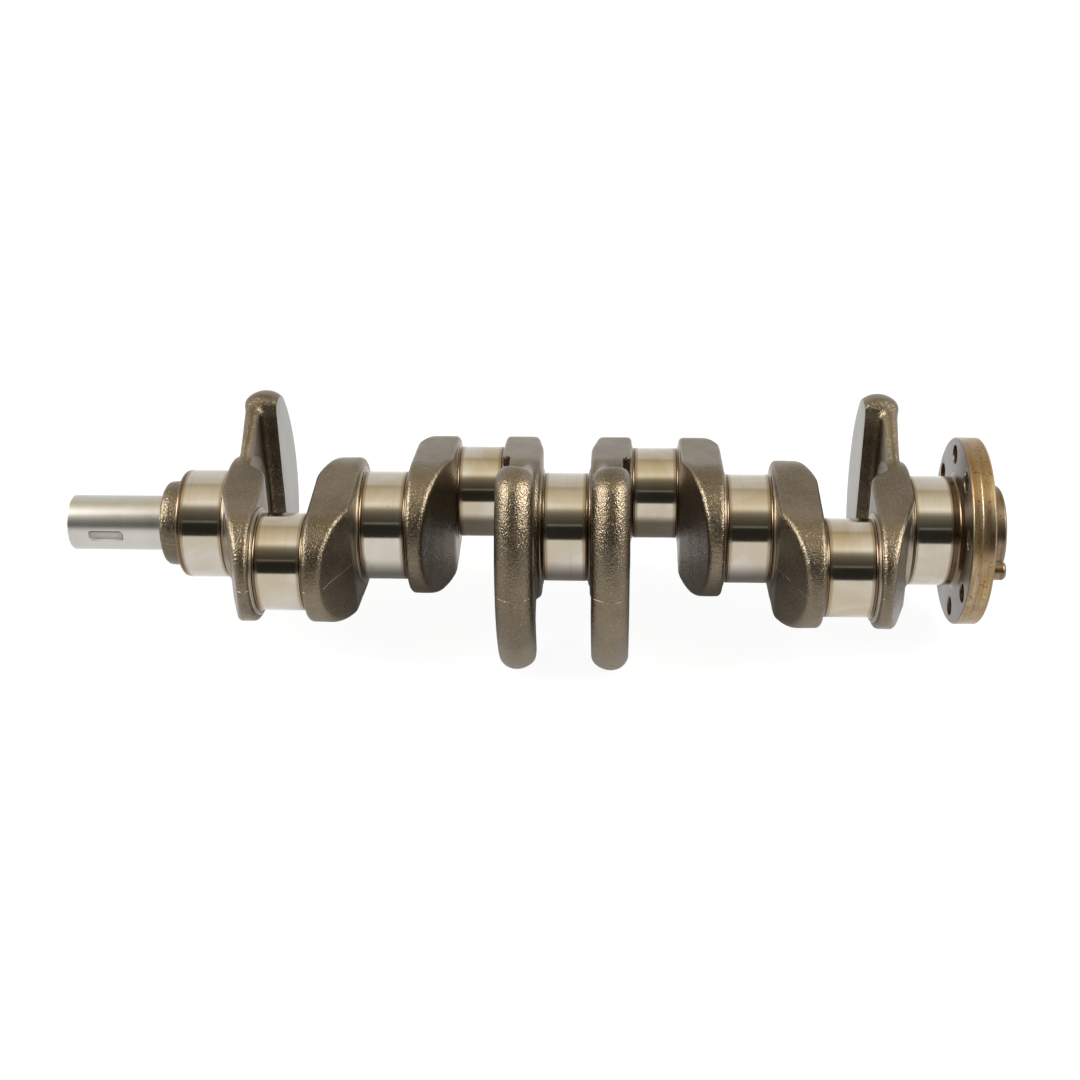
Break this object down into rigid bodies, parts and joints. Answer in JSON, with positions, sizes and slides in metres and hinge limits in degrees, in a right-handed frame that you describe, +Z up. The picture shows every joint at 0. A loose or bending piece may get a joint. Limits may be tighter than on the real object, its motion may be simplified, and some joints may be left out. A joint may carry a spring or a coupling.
{
  "type": "engine crankshaft",
  "caption": "Forged crankshaft for an in-line engine, with keyed snout, ground journals, counterweighted webs and a bolted rear flange.",
  "frame": {"origin": "on the main bearing axis, at the middle of the overall box", "axes": "+X along the main bearing axis from the front snout to the rear flange; the throws lie in the XY plane, with crankpins 1 and 4 towards -Y; +Z is up when the shaft lies on the tips of its counterweights"},
  "size_m": [0.4962, 0.16, 0.1178],
  "materials": {
    "ground_steel": "ground and polished steel bearing surface with warm oil staining at the edges",
    "forged_steel": "as-forged, shot-cleaned and oiled steel, brown-bronze with a fine grain",
    "turned_steel": "fine turned steel",
    "stained_steel": "turned steel with straw-coloured oil and light rust staining"
  },
  "bodies": {
    "root": {"front_snout": "turned_steel", "front_collar": "forged_steel", "main_journal_1": "ground_steel", "main_journal_2": "ground_steel", "main_journal_3": "ground_steel", "main_journal_4": "ground_steel", "main_journal_5": "ground_steel", "crankpin_1": "ground_steel", "crankpin_2": "ground_steel", "crankpin_3": "ground_steel", "crankpin_4": "ground_steel", "web_1": "forged_steel", "web_2": "forged_steel", "web_3": "forged_steel", "web_4": "forged_steel", "web_5": "forged_steel", "web_6": "forged_steel", "web_7": "forged_steel", "web_8": "forged_steel", "rear_flange": "stained_steel", "pilot_boss": "turned_steel", "flange_dowel_pin": "turned_steel"}
  },
  "joints": []
}
